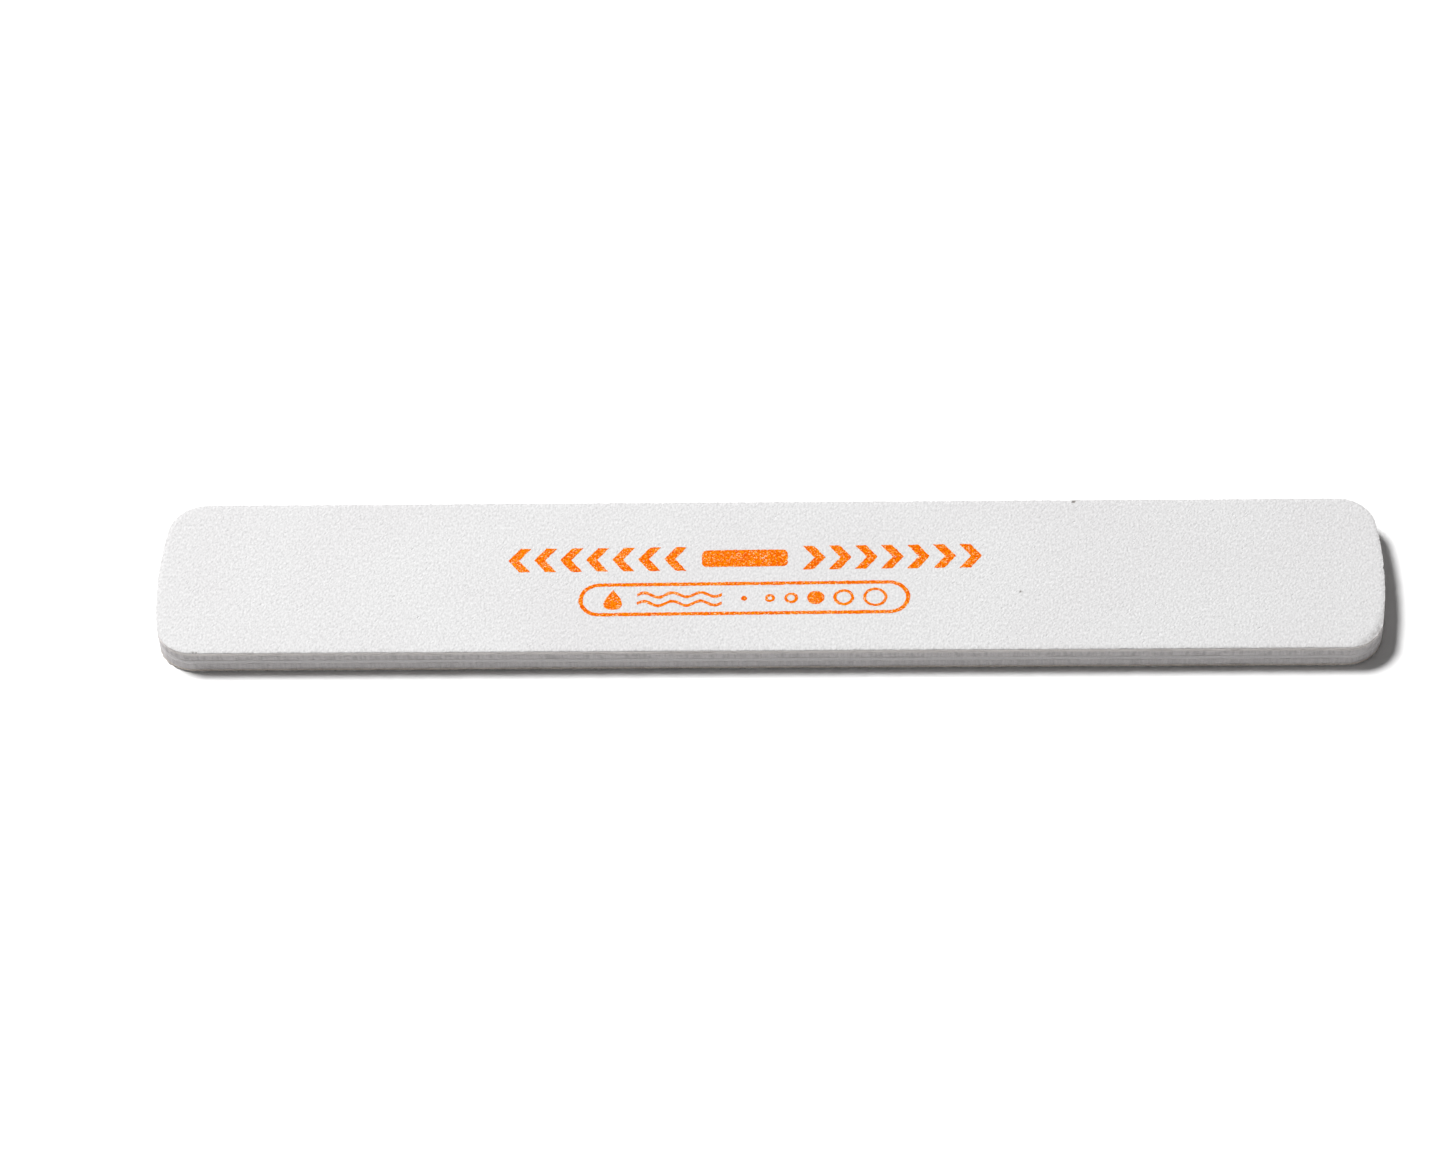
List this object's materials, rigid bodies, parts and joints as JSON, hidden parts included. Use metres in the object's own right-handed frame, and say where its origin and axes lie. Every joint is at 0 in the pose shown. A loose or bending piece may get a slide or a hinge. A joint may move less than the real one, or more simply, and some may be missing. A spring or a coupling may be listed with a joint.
{
  "type": "sanding stick",
  "caption": "Flat cushioned sanding stick with rounded ends, a stiff core between foam layers and white abrasive on both faces.",
  "frame": {"origin": "centre of the back face, on the surface that the stick lies on", "axes": "+X along the stick's length, +Y across its width, +Z from the back face through the layers to the printed front face"},
  "size_m": [0.178, 0.028, 0.0045],
  "materials": {
    "core_plastic": "white polystyrene sheet, sheared edge",
    "adhesive_film": "clear acrylic glue film, slightly soiled at the cut edge",
    "cushion_foam": "white closed-cell foam, matte cut edge",
    "backing_paper": "latex-saturated waterproof paper, cut edge",
    "abrasive_grit": "matte white abrasive grain in resin, medium grade",
    "orange_ink": "orange screen-print ink over the grain"
  },
  "bodies": {
    "root": {"plastic_core": "core_plastic", "front_core_adhesive": "adhesive_film", "back_core_adhesive": "adhesive_film", "front_foam": "cushion_foam", "back_foam": "cushion_foam", "front_sheet_adhesive": "adhesive_film", "back_sheet_adhesive": "adhesive_film", "front_backing_paper": "backing_paper", "back_backing_paper": "backing_paper", "front_grit_coat": "abrasive_grit", "back_grit_coat": "abrasive_grit", "printed_stroke_arrows": "orange_ink", "printed_badge_frame": "orange_ink", "printed_wash_symbol": "orange_ink", "printed_grade_symbol": "orange_ink"}
  },
  "joints": []
}
